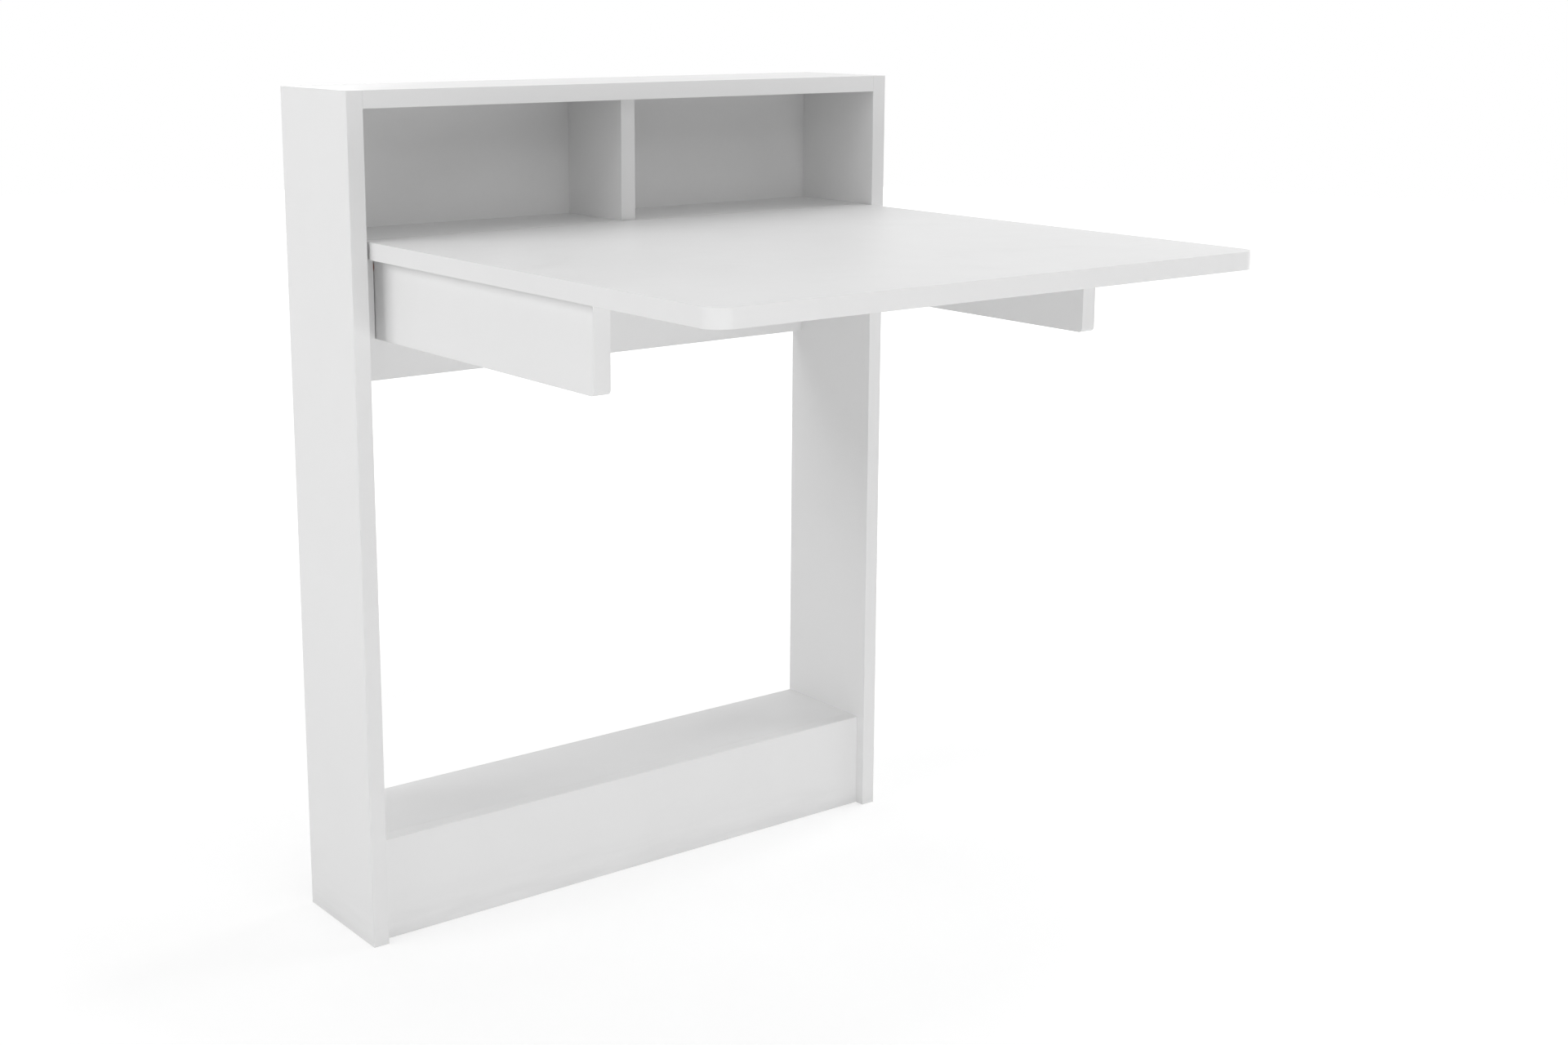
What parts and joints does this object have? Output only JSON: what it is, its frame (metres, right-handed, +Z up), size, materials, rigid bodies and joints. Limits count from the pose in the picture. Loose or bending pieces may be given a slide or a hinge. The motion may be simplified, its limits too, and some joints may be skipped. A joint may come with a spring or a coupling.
{
  "type": "wall-mounted desk",
  "caption": "Slim white board frame that stands on the floor and fixes to a wall, with open niches above a desk leaf on support arms that folds down into the frame.",
  "frame": {"origin": "on the wall, at floor level, at mid-width: the rear edges of the sides stand in the plane y = 0", "axes": "+Z up, +Y into the wall, so the desk faces -Y; +X to the right as seen from the front"},
  "size_m": [0.7, 0.719, 0.9],
  "materials": {
    "white_board": "satin white melamine board with matching edge band",
    "steel": "bright zinc-plated steel",
    "zinc": "matt zinc",
    "brass": "turned brass",
    "beech": "fluted beech",
    "fibre": "hard red-brown fibre",
    "black_plastic": "moulded black"
  },
  "bodies": {
    "frame": {"left_side": "white_board", "right_side": "white_board", "top_panel": "white_board", "back_panel": "white_board", "shelf": "white_board", "divider": "white_board", "bottom_board": "white_board", "plinth_front": "white_board", "left_cleat": "white_board", "right_cleat": "white_board", "cam_locks": "zinc", "cam_bolts": "steel", "wood_dowels": "beech", "cleat_screws": "steel", "left_pivot_bolt": "steel", "right_pivot_bolt": "steel", "pivot_inserts": "brass", "friction_washers": "fibre", "spring_washers": "steel"},
    "leaf": {"desk_leaf": "white_board", "left_arm": "white_board", "right_arm": "white_board", "left_pivot_plate": "steel", "right_pivot_plate": "steel", "pivot_bushes": "brass", "left_arm_angles": "zinc", "right_arm_angles": "zinc", "left_lock_guide": "zinc", "right_lock_guide": "zinc", "plate_screws": "steel", "angle_screws": "steel", "guide_screws": "steel"},
    "left_lock": {"left_lock_pin": "steel", "left_lock_knob": "black_plastic"},
    "right_lock": {"right_lock_pin": "steel", "right_lock_knob": "black_plastic"}
  },
  "joints": [
    {"name": "leaf_fold", "type": "hinge", "parent": "frame", "child": "leaf", "pos_m": [0, -0.114, 0.722], "axis": [1, 0, 0], "range_deg": [0, 90]},
    {"name": "left_lock_slide", "type": "slide", "parent": "leaf", "child": "left_lock", "axis": [-1, 0, 0], "range_m": [0, 0.016]},
    {"name": "right_lock_slide", "type": "slide", "parent": "leaf", "child": "right_lock", "axis": [1, 0, 0], "range_m": [0, 0.016]}
  ]
}
